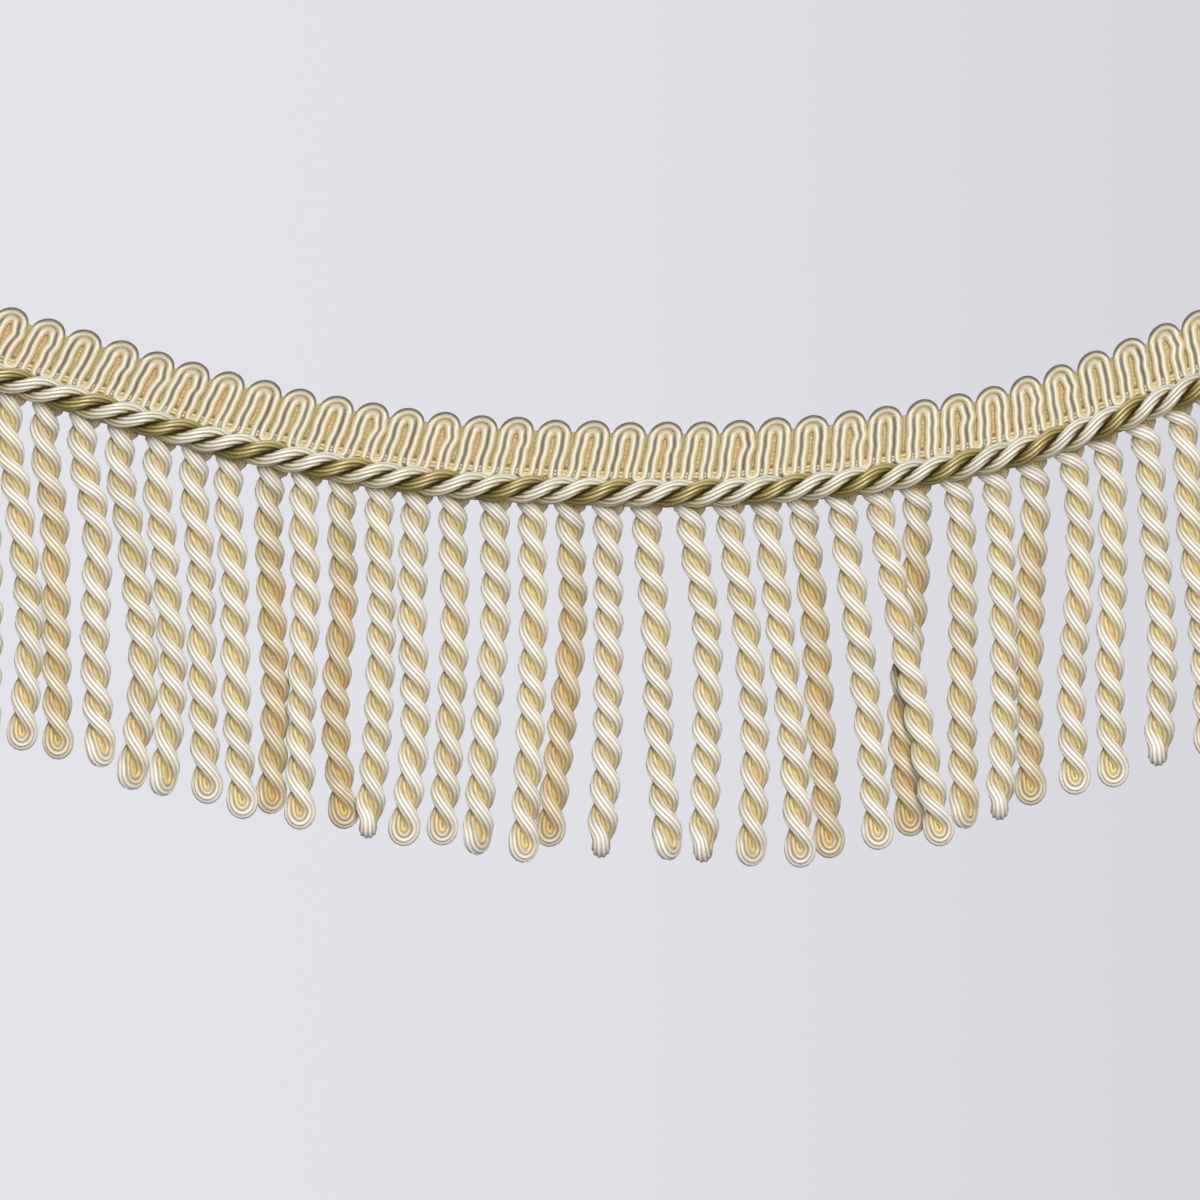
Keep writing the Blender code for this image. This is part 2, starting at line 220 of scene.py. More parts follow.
# How each rope hangs, from left to right, in millimetres and degrees
ROPE_COLUMNS = ("shift", "drop", "third", "two_thirds", "tip", "depth", "end_turn")
ROPE_TABLE = (
    (0.0, 80.2, 1.8, 2.4, 3.0, -0.6, 30.0),
    (0.2, 80.9, 2.3, 3.2, 2.3, 0.4, 0.0),
    (-0.6, 81.4, 2.8, 3.7, 2.8, 0.0, 20.0),
    (0.0, 81.6, 2.1, 4.4, 2.3, -1.8, 0.0),
    (0.0, 81.1, 1.4, 1.8, 2.3, 2.6, 0.0),
    (0.2, 80.2, 2.8, 2.3, 3.9, -0.6, 40.0),
    (0.6, 82.8, 2.1, 4.6, 1.6, 1.6, 30.0),
    (0.9, 81.6, 0.9, 2.8, 0.2, -1.8, 45.0),
    (0.7, 81.1, 0.9, 1.2, 2.5, 0.8, 0.0),
    (0.0, 82.5, 0.7, 1.2, 2.8, -0.5, 0.0),
    (0.9, 79.3, -0.5, 0.5, -0.7, 4.0, 20.0),
    (0.1, 81.1, -0.2, -1.2, -1.6, -1.0, 0.0),
    (0.0, 79.5, -0.2, -2.1, 0.2, 3.6, 10.0),
    (-0.2, 80.2, 0.2, -0.7, -3.2, -1.2, 90.0),
    (-0.6, 80.7, -1.2, -0.5, -3.5, -0.4, 0.0),
    (-1.0, 79.8, 0.2, -0.9, -3.0, 1.0, 0.0),
    (-0.3, 81.1, 0.0, -2.5, -4.4, -0.4, 45.0),
    (-0.5, 82.5, 0.2, -0.7, -2.3, -1.5, 20.0),
    (-0.7, 78.6, 0.7, -2.1, -5.1, 3.6, 0.0),
    (-0.7, 80.7, 0.0, -0.2, -1.8, 0.0, 90.0),
    (-0.7, 81.1, 2.1, 3.0, 5.3, 0.4, 45.0),
    (0.4, 81.6, 3.9, 3.9, 3.0, -0.4, 80.0),
    (0.6, 82.8, 3.9, 6.0, 4.9, -0.8, 20.0),
    (0.3, 83.5, 3.2, 6.2, 8.1, -0.4, 0.0),
    (-0.1, 82.1, 2.8, 4.4, 6.5, 4.0, 0.0),
    (-0.1, 80.9, 3.5, 6.7, 8.8, 0.4, 0.0),
    (-0.3, 81.1, 4.6, 9.7, 14.6, -3.4, 0.0),
    (-0.4, 80.2, -0.5, -3.0, -0.9, 4.4, 0.0),
    (0.2, 80.0, 1.6, 1.4, 2.1, 2.2, 45.0),
    (0.1, 79.8, 2.1, 2.5, 1.2, -1.8, 90.0),
    (0.2, 78.6, 0.0, -0.7, 0.0, 3.4, 0.0),
    (0.3, 78.8, 2.5, 0.5, 1.4, -0.4, 0.0),
    (-0.3, 80.0, 2.3, 1.6, 2.5, 0.4, 0.0),
    (0.2, 78.4, 3.2, 5.1, 3.9, -0.4, 80.0),
    (0.6, 79.8, 3.0, 6.0, 7.6, 0.4, 0.0),
    (0.2, 78.8, 2.8, 4.8, 7.0, -0.6, 30.0),
    (0.0, 79.3, 2.6, 5.2, 7.5, 0.6, 0.0),
)

LINE_SAMPLES = 1345
ROPE_SAMPLES = 400

# Camera and backdrop
VIEW_WIDTH = 277.44 * MM
VIEW_CENTRE = (1.69 * MM, 0.0, -41.5 * MM)
CAMERA_DISTANCE = 2.4
LIGHT_DISTANCE = 2.1
SENSOR_WIDTH = 36.0
CLIP_START = 0.05
FLOOR_HEIGHT = -0.34


def smooth_step(t):
    t = np.clip(t, 0.0, 1.0)
    return t * t * (3.0 - 2.0 * t)


def unit(vectors):
    return vectors / np.linalg.norm(vectors, axis=-1, keepdims=True)


def hermite(x, xs, ys):
    """Smooth curve through a table's points."""
    slopes = np.gradient(ys, xs)
    i = np.clip(np.searchsorted(xs, x) - 1, 0, len(xs) - 2)
    width = xs[i + 1] - xs[i]
    t = (x - xs[i]) / width
    start = (1 + 2 * t) * (1 - t) ** 2 * ys[i] + t * (1 - t) ** 2 * width * slopes[i]
    end = t * t * (3 - 2 * t) * ys[i + 1] + t * t * (t - 1) * width * slopes[i + 1]
    return start + end


class CordLine:
    """The swag of the cord's centre line, by distance along it from the middle."""

    def __init__(self):
        across, rise = np.array(CORD_LINE).T * MM
        self.x = np.linspace(across[0], across[-1], LINE_SAMPLES)
        self.z = hermite(self.x, across, rise)
        steps = np.hypot(np.diff(self.x), np.diff(self.z))
        along = np.concatenate(([0.0], np.cumsum(steps)))
        self.along = along - np.interp(0.0, self.x, along)
        self.slope = np.gradient(self.z, self.x)

    def points(self, along, above=0.0, depth=0.0):
        """Points at distances along the line, set off square to it in the fringe's plane."""
        along, above, depth = np.broadcast_arrays(along, above, depth)
        x = np.interp(along, self.along, self.x)
        z = np.interp(along, self.along, self.z) - HEADING_TOP
        angle = np.arctan(np.interp(along, self.along, self.slope))
        return np.stack((x - above * np.sin(angle), depth, z + above * np.cos(angle)), axis=-1)


LINE = CordLine()


# Meshes


def piece_object(name, mesh, material):
    mesh.materials.append(material)
    piece = bpy.data.objects.new(name, mesh)
    bpy.context.scene.collection.objects.link(piece)
    return piece


def mesh_of_rings(name, groups, layers, creased=False):
    """Closed tubes, one for each group of rings, with values kept at their points."""
    points = []
    faces = []
    first = 0
    flat_from = []
    for rings in groups:
        count, sides = rings.shape[:2]
        index = first + np.arange(count * sides).reshape(count, sides)
        after = np.roll(index, -1, axis=1)
        quads = np.stack((index[:-1], after[:-1], after[1:], index[1:]), axis=-1)
        faces += quads.reshape(-1, 4).tolist()
        flat_from.append(len(faces))
        faces += [index[0][::-1].tolist(), index[-1].tolist()]
        points.append(rings.reshape(-1, 3))
        first += count * sides
    mesh = bpy.data.meshes.new(name)
    mesh.from_pydata(np.concatenate(points).tolist(), [], faces)
    smooth = np.ones(len(faces), dtype=bool)
    for at in flat_from:
        smooth[at:at + 2] = False
    mesh.polygons.foreach_set("use_smooth", smooth)
    if creased:
        ends = np.empty(len(mesh.edges) * 2, dtype=np.int64)
        mesh.edges.foreach_get("vertices", ends)
        at_groove = (ends % groups[0].shape[1]) % len(THREAD_PLACES) == 0
        sharp = mesh.attributes.new("sharp_edge", "BOOLEAN", "EDGE")
        sharp.data.foreach_set("value", at_groove.reshape(-1, 2).all(axis=1))
    for key, parts in layers.items():
        values = np.concatenate([np.asarray(part, dtype=np.float32).ravel() for part in parts])
        kind = "FLOAT_VECTOR" if len(values) == 3 * first else "FLOAT"
        made = mesh.attributes.new(key, kind, "POINT")
        made.data.foreach_set("vector" if kind == "FLOAT_VECTOR" else "value", values)
    mesh.update()
    return mesh


def swept_rings(path, outward, section):
    """Rings round a path: section holds offsets along outward and across it."""
    ahead = unit(np.gradient(path, axis=0))
    outward = unit(outward - ahead * np.sum(outward * ahead, axis=1, keepdims=True))
    across = np.cross(ahead, outward)
    return path[:, None] + outward[:, None] * section[..., :1] + across[:, None] * section[..., 1:]


def travelled(path):
    steps = np.linalg.norm(np.diff(path, axis=0), axis=1)
    return np.concatenate(([0.0], np.cumsum(steps)))


def thread_section(phase, radial, across, threads, depth=1.0):
    """A bundle's section ring by ring: its threads stand where phase has turned them."""
    own = TURN / threads * (np.arange(threads)[:, None] + np.array(THREAD_PLACES)).ravel()
    angle = phase[:, None] + own[None]
    reach = 1.0 - depth * (1.0 - np.tile(THREAD_PROFILE, threads)[None])
    section = np.stack((
        radial[:, None] * reach * np.cos(angle),
        across[:, None] * reach * np.sin(angle),
    ), axis=-1)
    groove = np.broadcast_to(np.tile(THREAD_GROOVE, threads)[None], angle.shape)
    return section, own, groove


def fibre_places(own, along, radius, seed):
    """Where a point lies on its yarn, in millimetres: round it in two numbers, and along it."""
    count = len(along)
    x = np.broadcast_to(radius / MM * np.cos(own)[None], (count, len(own))) + seed
    y = np.broadcast_to(radius / MM * np.sin(own)[None], (count, len(own)))
    z = np.broadcast_to(along[:, None] / MM, (count, len(own)))
    return np.stack((x, y, z), axis=-1)


# Ropes


def rope_line(index, row):
    """A rope's centre line by distance below the cord's edge."""
    along = (index - (ROPES - 1) / 2) * PITCH - PITCH / 2 + row["shift"] * MM
    start = LINE.points(along, -ROPE_START)
    show = LINE.points(along, -ROPE_SHOW)
    drop = row["drop"] * MM
    leans = [row[key] * MM for key in ("third", "two_thirds", "tip")]
    falls = np.array([start[2] - show[2], 0.0, -drop / 3, -2 * drop / 3, -drop])
    sides = np.array([start[0] - show[0], 0.0, *leans])
    fall = np.linspace(falls[0], falls[-1], ROPE_SAMPLES)
    side = hermite(-fall, -falls, sides)
    share = np.clip(-fall / drop / DEPTH_EASE, 0.0, 1.0)
    depth = ROPE_DEPTH + row["depth"] * MM * (1.0 - (1.0 - share) ** 2)
    line = np.stack((show[0] + side, depth, show[2] + fall), axis=-1)
    below = travelled(line)
    below -= np.interp(0.0, -fall, below)
    return below, line


def along_table(at, below, values):
    """Each column of values read at distances along a rope."""
    return np.stack([np.interp(at, below, column) for column in values.T], axis=-1)


def rope_turn(below, length, end_turn):
    """Angle of the first ply from the front towards the right, easing off above the loop."""
    twisted = length - 2 * LENS_DROP
    rate = math.pi * (ROPE_HALF_TURNS + end_turn / 180) / twisted
    stop = length - LENS_DROP
    ease = 1.0 - smooth_step((below - stop + LOOP_EASE) / (2 * LOOP_EASE))
    middles = (ease[1:] + ease[:-1]) / 2
    turned = np.concatenate(([0.0], np.cumsum(middles * np.diff(below))))
    turned -= np.interp(LENS_DROP, below, turned)
    gathering = math.pi * np.clip((LENS_DROP - below) / ROOT_TURN, 0.0, 1.0)
    return math.pi / 2 + np.where(below < LENS_DROP, -gathering, rate * turned)


def bundle_way(below, line, turn):
    """A bundle's way ring by ring: down one ply, round the loop and up the other."""
    bend_at = below[-1] - PLY_RADIAL - LOOP_HEIGHT + LOOP_HANG
    turned = np.interp(bend_at, below, turn) - turn[0]
    count = int(turned / TURN * ROPE_RINGS_PER_TURN) + ROPE_END_RINGS
    at = np.linspace(below[0], bend_at, count)
    axis = along_table(at, below, line)
    down = unit(along_table(at, below, np.gradient(line, axis=0)))
    right = unit(np.array((1.0, 0.0, 0.0)) - down * down[:, :1])
    front = np.cross(down, right)
    angle = np.interp(at, below, turn)
    outward = right * np.sin(angle)[:, None] + front * np.cos(angle)[:, None]

    # the plies leave the strip side by side and gather into the twist
    gathered = smooth_step((at - below[0]) / ROOT_LENGTH)
    opening = smooth_step((at - bend_at + LOOP_OPENING) / LOOP_OPENING)
    spread = PLY_OFFSET + ROOT_SPREAD * (1.0 - gathered)
    offset = spread + (LOOP_OFFSET - PLY_OFFSET) * opening
    flat = ROOT_FLATNESS + (1.0 - ROOT_FLATNESS) * gathered
    aside = right * np.sin(angle)[:, None] + front * (flat * np.cos(angle))[:, None]
    first = axis + aside * offset[:, None]
    second = axis - aside * offset[:, None]

    # the loop goes on turning with the rope until its lowest point
    bend = np.linspace(0.0, math.pi, BEND_RINGS + 2)[1:-1, None]
    bend_angle = np.interp(bend_at + LOOP_HEIGHT * np.sin(bend), below, turn)
    bend_aside = np.sin(bend_angle) * right[-1] + np.cos(bend_angle) * front[-1]
    bend_out = np.cos(bend) * bend_aside + np.sin(bend) * down[-1]
    hang = LOOP_HEIGHT * np.sin(bend) * down[-1]
    bend_path = axis[-1] + LOOP_OFFSET * np.cos(bend) * bend_aside + hang
    bend_down = np.cross(bend_out, np.cross(outward[-1], down[-1]))

    grown = ROOT_FULLNESS + (1.0 - ROOT_FULLNESS) * gathered
    full = 1.0 + LOOP_FULLNESS * np.sin(bend[:, 0])
    # painted shadow of the cord near the roots, full on the second ply
    near_root = 1.0 - smooth_step((at - below[0]) / ROOT_SHADE_LENGTH)
    return SimpleNamespace(
        path=np.concatenate((first, bend_path, second[::-1])),
        outward=np.concatenate((outward, bend_out, -outward[::-1])),
        centres=np.concatenate((axis, np.repeat(axis[-1:], BEND_RINGS, axis=0), axis[::-1])),
        downs=np.concatenate((down, bend_down, down[::-1])),
        grown=np.concatenate((grown, full, grown[::-1])),
        phase=thread_phase(angle, bend_angle[:, 0]),
        under=np.concatenate((np.zeros(count), np.sin(bend[:, 0]), np.zeros(count))),
        root=np.concatenate((
            FIRST_PLY_ROOT_SHADE * near_root, np.zeros(BEND_RINGS), near_root[::-1],
        )),
    )


def thread_phase(angle, bend_angle):
    """How far the threads have turned in their bundle, ring by ring along its way.

    They lie back against the twist, and one stands on each side of a crossing's middle.
    """
    lobe = TURN / ROPE_THREADS
    down = ROPE_THREAD_LAY * angle
    up = -ROPE_THREAD_LAY * (angle + math.pi)[::-1]
    up = up + lobe * np.round((down[-1] - up[0]) / lobe)
    share = np.arange(1, BEND_RINGS + 1) / (BEND_RINGS + 1)
    turned = ROPE_THREAD_LAY * (bend_angle - angle[-1])
    bend = down[-1] + (up[0] - down[-1]) * share + turned * (1.0 - 2.0 * share)
    return np.concatenate((down, bend, up))


def depth_inside(way, rings, own):
    """How far inside the twist a point lies: 0 on the rope's outside, 1 on its centre line."""
    away = rings - way.centres[:, None]
    away -= way.downs[:, None] * np.sum(away * way.downs[:, None], axis=-1, keepdims=True)
    inside = 1.0 - np.linalg.norm(away, axis=-1) / (ROPE_RADIUS * way.grown)[:, None]
    # painted shade on the loop's underside, where it faces down
    facing_down = np.clip(np.cos(way.phase[:, None] + own[None]), 0.0, 1.0)
    return np.clip(inside + LOOP_SHADE * way.under[:, None] * facing_down, 0.0, 1.0)


def rope_piece(index, row, material, random):
    """One bundle of threads, doubled and twisted on itself."""
    below, line = rope_line(index, row)
    length = below[-1]
    turn = rope_turn(below, length, row["end_turn"])
    ahead_of = np.sin(TURN * below / TWIST_UNEVEN_LENGTH + random.uniform(0.0, TURN))
    faded = np.sin(math.pi * np.clip(below / length, 0.0, 1.0))
    way = bundle_way(below, line, turn + TWIST_UNEVEN * ahead_of * faded)
    fullness = 1.0 + FULLNESS_UNEVEN * random.uniform(-1, 1)
    section, own, groove = thread_section(
        way.phase, PLY_RADIAL * way.grown * fullness, PLY_ACROSS * way.grown * fullness,
        ROPE_THREADS,
    )
    rings = swept_rings(way.path, way.outward, section)
    # painted shade on ropes that hang farther back
    behind = smooth_step((way.centres[:, 1] - BEHIND_FROM) / (BEHIND_FULL - BEHIND_FROM))
    seed = random.uniform(0.0, FIBRE_SHIFT)
    layers = {
        "inside": [depth_inside(way, rings, own)],
        "groove": [groove],
        "root": [np.broadcast_to(way.root[:, None], groove.shape)],
        "behind": [np.broadcast_to(behind[:, None], groove.shape)],
        "fibre": [fibre_places(own, travelled(way.path), PLY_RADIAL, seed)],
    }
    name = f"rope_{index + 1:02d}"
    piece = piece_object(name, mesh_of_rings(name, [rings], layers, creased=True), material)
    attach(piece, "root")
    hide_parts("skirt")
    return piece


# Cord


def cord_ply(number, name, material, random):
    """One of the cord's plies, with its threads laid back against the twist."""
    steps = round((FOOT_RIGHT - FOOT_LEFT) / CORD_TURN * CORD_RINGS_PER_TURN)
    along = np.linspace(FOOT_LEFT, FOOT_RIGHT, steps + 1)
    axis = LINE.points(along, 0.0, CORD_DEPTH)
    ahead = unit(np.gradient(axis, axis=0))
    up = np.cross(FRONT, ahead)
    angle = TURN * (along - CORD_PHASE) / CORD_TURN + TURN * number / CORD_PLIES
    outward = FRONT * np.cos(angle)[:, None] + up * np.sin(angle)[:, None]
    path = axis + outward * (CORD_RADIUS - CORD_PLY_RADIAL)
    ones = np.ones(len(along))
    section, own, groove = thread_section(
        angle * CORD_THREAD_LAY, CORD_PLY_RADIAL * ones, CORD_PLY_ACROSS * ones,
        CORD_THREADS, CORD_THREAD_DEPTH,
    )
    rings = swept_rings(path, outward, section)
    away = rings - axis[:, None]
    away -= ahead[:, None] * np.sum(away * ahead[:, None], axis=-1, keepdims=True)
    inside = 1.0 - np.linalg.norm(away, axis=-1) / CORD_RADIUS
    # the painted shade in the hollows between the plies fades towards the cord's top and
    # underside, and the underside gets painted khaki shade
    risen = np.sum(away * up[:, None], axis=-1)
    edge = smooth_step((np.abs(risen) - HOLLOW_HEIGHT) / HOLLOW_HEIGHT)
    low = smooth_step((-risen - HOLLOW_HEIGHT) / HOLLOW_HEIGHT)
    inside = inside * (1.0 - HOLLOW_SHADE_FADING * edge) + UNDERSIDE_PAINTED_SHADE * low
    inside[[0, -1]] = CUT_END_TONE
    seed = random.uniform(0.0, FIBRE_SHIFT)
    layers = {
        "inside": [np.clip(inside, 0.0, 1.0)],
        "groove": [groove],
        "fibre": [fibre_places(own, travelled(path), CORD_PLY_RADIAL, seed)],
    }
    piece = piece_object(name, mesh_of_rings(name, [rings], layers, creased=True), material)
    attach(piece, "root")
    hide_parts("cord")
    return piece


# Heading


def lean(above):
    """How far the heading stands to the left of its top at a height above the cord line."""
    return -LEG_LEAN * (1.0 - np.asarray(above) / HEADING_TOP)


def arc(middle, level, half, rise, start, end, step):
    """Points of a flattened arc from one angle to another, the last one left out."""
    count = max(6, round(math.pi * (half + rise) / 2 / step))
    angle = np.linspace(start, end, count + 1)[:-1]
    return np.stack((middle + half * np.cos(angle), level + rise * np.sin(angle)), axis=-1)


def straight(across, low, high, step):
    count = max(2, round(abs(high - low) / step))
    levels = np.linspace(low, high, count + 1)[:-1]
    return np.stack((np.full(count, across), levels), axis=-1)


def leg_sway(heights, loop, leg):
    """How far a leg wanders sideways, both of its yarns alike."""
    share = np.clip((heights - OUTER_FOOT) / (INNER_SPRING - OUTER_FOOT), 0.0, 1.0)
    begun = TURN * (LEG_SWAY_SPREAD * LOOP_UNEVEN[loop, leg] + LEG_SWAY_START)
    wave = np.sin(TURN * heights / LEG_SWAY_LENGTH + begun)
    return LEG_SWAY * np.sin(math.pi * share) * wave


def serpentine(half, spring, rise, foot, drop):
    """A yarn's way up, over and down every loop: places along the cord line and above it."""
    points = []
    for loop, middle in enumerate(LOOP_MIDDLES):
        level = spring + LOOP_LIFT * LOOP_UNEVEN[loop, 1]
        left = straight(middle - half, foot, level, YARN_STEP)
        left[:, 0] += leg_sway(left[:, 1], loop, 1)
        over = arc(middle, level, half, rise, math.pi, 0.0, YARN_STEP)
        right = straight(middle + half, level, foot, YARN_STEP)
        swell = BULGE * np.exp(-((right[:, 1] - BULGE_HEIGHT) / BULGE_REACH) ** 2)
        swell *= 1.0 + LOOP_SWELL * LOOP_UNEVEN[loop, 2]
        right[:, 0] += swell + leg_sway(right[:, 1], loop, 2)
        apart = LOOP_MIDDLES[loop + 1] - middle if loop < LOOPS - 1 else PITCH
        reach = apart / 2
        under = arc(middle + reach, foot, reach - half, drop, math.pi, TURN, YARN_STEP)
        if loop == LOOPS - 1:
            under = under[:1]
        points += [left, over, right, under]
    return np.concatenate(points)


def yarn_piece(name, half, spring, rise, foot, drop, outside, material, random):
    """One of the heading's two yarns, with painted shade on the sides that face others."""
    flat = serpentine(half, spring, rise, foot, drop)
    phase = flat[:, 0] / PITCH * YARN_SWAY_RATE + OUTER_SWAY_PHASE * outside
    along = flat[:, 0] + lean(flat[:, 1]) + YARN_SWAY * np.sin(phase)
    in_arch = smooth_step((flat[:, 1] - ARCH_FROM) / ARCH_BLEND)
    flattened = np.zeros(len(flat)) if outside else in_arch
    path = LINE.points(along, flat[:, 1], YARN_DEPTH + ARCH_SINK * flattened)
    width = 1.0 + ARCH_WIDENING * flattened
    own = TURN * np.arange(YARN_SIDES) / YARN_SIDES
    section = YARN_RADIUS * np.stack((
        np.broadcast_to(np.cos(own), (len(path), YARN_SIDES)),
        width[:, None] * np.sin(own),
    ), axis=-1)
    rings = swept_rings(path, np.broadcast_to(FRONT, path.shape), section)
    # going up, over and down, the left hand of the way is the loop's outside
    toward = -np.sin(own)[None]
    arch = in_arch[:, None]
    left_side = np.clip(toward, 0.0, 1.0)
    right_side = np.clip(-toward, 0.0, 1.0)
    # painted shade: grey where two yarns meet and on the outer arch's upper rim, ochre on the
    # sides facing the ground
    if outside:
        crown = smooth_step((flat[:, 1] - spring) / rise)[:, None]
        rim = np.clip(toward - CROWN_EDGE + CROWN_REACH * crown, 0.0, 1.0)
        painted_grey_shade = right_side * (1.0 - arch) + CROWN_SHADE * rim * arch
        ochre_and_painted_shade = left_side * (1.0 - arch) + OUTER_ARCH_PAINTED_OCHRE * right_side * arch
    else:
        painted_grey_shade = np.maximum(left_side * (1.0 - INNER_ARCH_FADE * arch), INNER_ARCH_SHADE * arch)
        ochre_and_painted_shade = np.maximum(right_side, INNER_ARCH_PAINTED_OCHRE * arch)
    seed = random.uniform(0.0, FIBRE_SHIFT)
    layers = {
        "painted_grey_shade": [np.broadcast_to(painted_grey_shade, rings.shape[:2])],
        "ochre_and_painted_shade": [np.broadcast_to(ochre_and_painted_shade, rings.shape[:2])],
        "fibre": [fibre_places(own, travelled(path), YARN_RADIUS, seed)],
    }
    piece = piece_object(name, mesh_of_rings(name, [rings], layers), material)
    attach(piece, "root")
    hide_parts("heading")
    return piece


def ribbed_band(
    name, bottom, top, front, back, ribs, leaning, node, material, fibre_shift,
):
    """A woven band of lengthwise ribs, following the swag between two heights."""
    steps = round((FOOT_RIGHT - FOOT_LEFT) / GROUND_STEP)
    along = np.linspace(FOOT_LEFT, FOOT_RIGHT, steps + 1)
    rib = (top - bottom) / ribs
    share = np.arange(RIB_PLACES) / RIB_PLACES
    heights = (np.arange(ribs)[:, None] + share[None]).ravel() * rib + bottom
    heights = np.append(heights, top)
    rounded = np.abs(np.sin(math.pi * (heights - bottom) / rib))
    swell = RIB_RELIEF * rounded ** RIB_FULLNESS
    number = np.floor((heights - bottom) / rib - 1e-6)
    wave = np.sin(TURN * along[:, None] / WEFT_PITCH + math.pi * number[None])
    front_depth = front - swell[None] * (1.0 - WEFT_WAVE + WEFT_WAVE * wave)
    back_depth = back + swell[None] * (1.0 - WEFT_WAVE - WEFT_WAVE * wave)
    up = np.broadcast_to(heights, front_depth.shape)
    above = np.concatenate((up, up[:, ::-1]), axis=1)
    depth = np.concatenate((front_depth, back_depth[:, ::-1]), axis=1)
    shift = LEG_LEAN + lean(above) if leaning else 0.0
    beside = (along[:, None] + LEG_LEAN) / PITCH
    between = smooth_step(0.5 - BETWEEN_CONTRAST * np.cos(TURN * beside))
    at_back = (depth > (front + back) / 2).astype(float)
    rings = LINE.points(along[:, None] + shift, above, depth)
    across = np.concatenate((heights, heights[::-1]))
    groove = np.concatenate((swell, swell[::-1])) / RIB_RELIEF
    layers = {
        "groove": [np.broadcast_to(1.0 - groove[None], depth.shape)],
        "height": [np.broadcast_to(above / MM, depth.shape)],
        "between": [np.broadcast_to(between, depth.shape)],
        "behind": [at_back],
        "fibre": [np.stack((
            np.broadcast_to(across[None] / MM + fibre_shift, depth.shape),
            depth / MM,
            np.broadcast_to(along[:, None] / MM, depth.shape),
        ), axis=-1)],
    }
    # seen along the band, front up and back down, so the ring is turned to face outward
    rings = rings[:, ::-1]
    layers = {key: [values[0][:, ::-1]] for key, values in layers.items()}
    piece = piece_object(name, mesh_of_rings(name, [rings], layers), material)
    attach(piece, "root")
    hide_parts(node)
    return piece


def warp_threads(material, random):
    """Thin threads that bind the legs' feet, over each leg and down between the legs."""
    groups = []
    fibres = []
    painted_grey_shade = []
    ochre_and_painted_shade = []
    own = TURN * np.arange(WARP_SIDES) / WARP_SIDES
    round_section = WARP_RADIUS * np.stack((np.cos(own), np.sin(own)), axis=-1)
    along = np.arange(FOOT_LEFT + WARP_END, FOOT_RIGHT - WARP_END, WARP_STEP)
    for number, height in enumerate(WARP_HEIGHTS):
        beat = math.pi * number
        leg = TURN * (along - lean(height)) / (PITCH / 2)
        depth = WARP_DEPTH - WARP_WAVE * np.cos(leg + math.pi + beat * WARP_BEAT)
        wander = WARP_WANDER * np.sin(along / MM * WARP_WANDER_RATE + beat)
        path = LINE.points(along, height + wander, depth)
        section = np.broadcast_to(round_section, (len(path), WARP_SIDES, 2))
        groups.append(swept_rings(path, np.broadcast_to(FRONT, path.shape), section))
        seed = random.uniform(0.0, FIBRE_SHIFT)
        fibres.append(fibre_places(own, along - along[0], WARP_RADIUS, seed))
        # the warps take the ochre as their own colour, without painted grey shade
        painted_grey_shade.append(np.zeros((len(path), WARP_SIDES)))
        ochre_and_painted_shade.append(np.ones((len(path), WARP_SIDES)))
    layers = {"painted_grey_shade": painted_grey_shade, "ochre_and_painted_shade": ochre_and_painted_shade, "fibre": fibres}
    piece = piece_object("heading_warps", mesh_of_rings("heading_warps", groups, layers), material)
    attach(piece, "root")
    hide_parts("heading")
    return piece


# Materials: every colour is linear red, green and blue

# From the outside of a twist (0) to its middle: place and colour, darkening into painted shade in
# the hollows between the plies
# ropes: a painted highlight on the crest, painted shade on the flanks, painted ochre shade in the
# hollows
ROPE_PAINTED_HIGHLIGHT_TO_SHADE = (
    (0.0, (0.89, 0.86, 0.80)),
    (0.04, (0.87, 0.83, 0.76)),
    (0.12, (0.79, 0.735, 0.64)),
    (0.22, (0.65, 0.575, 0.43)),
    (0.3, (0.58, 0.49, 0.325)),
    (0.4, (0.75, 0.61, 0.37)),
    (0.52, (0.72, 0.56, 0.26)),
    (0.8, (0.76, 0.56, 0.21)),
)
# cords: near-black painted shade in the hollows between the plies
SILVER_TO_PAINTED_HOLLOW_SHADE = (
    (0.0, (0.74, 0.71, 0.62)),
    (0.15, (0.72, 0.66, 0.53)),
    (0.3, (0.48, 0.40, 0.23)),
    (0.41, (0.08, 0.048, 0.012)),
    (0.8, (0.02, 0.012, 0.004)),
)
GOLD_TO_PAINTED_HOLLOW_SHADE = (
    (0.0, (0.54, 0.44, 0.22)),
    (0.07, (0.445, 0.35, 0.15)),
    (0.16, (0.29, 0.225, 0.07)),
    (0.3, (0.19, 0.14, 0.035)),
    (0.4, (0.05, 0.03, 0.008)),
    (0.8, (0.015, 0.009, 0.003)),
)

# Twisted yarns: colours, painted shade in a thread's groove, and how the surface answers the light
YARN_COLUMNS = ("colours", "groove_painted_shade", "sheen", "roughness", "specular", "gleam")
YARN_TABLE = {
    "rope_yarn": (ROPE_PAINTED_HIGHLIGHT_TO_SHADE, (0.64, 0.59, 0.50), 0.1, 0.32, 0.55, (1.0, 0.97, 0.91)),
    "cord_ivory": (SILVER_TO_PAINTED_HOLLOW_SHADE, (0.36, 0.35, 0.32), 0.0, 0.26, 1.0, (1.0, 0.99, 0.96)),
    "cord_gold": (GOLD_TO_PAINTED_HOLLOW_SHADE, (0.10, 0.07, 0.03), 0.0, 0.26, 1.0, (1.0, 0.88, 0.60)),
}
ROOT_PAINTED_SHADOW = (0.34, 0.225, 0.075)  # painted shadow of the cord where the plies leave the strip
BEHIND_PAINTED_SHADE = (0.85, 0.78, 0.66)  # painted shade on the ropes that hang farther back
SHEEN_TINT = (1.0, 0.94, 0.82)
GROUND_SHEEN_TINT = (1.0, 0.9, 0.7)
SHEEN_ROUGHNESS = 0.4
BUMP_STRENGTH = 0.6
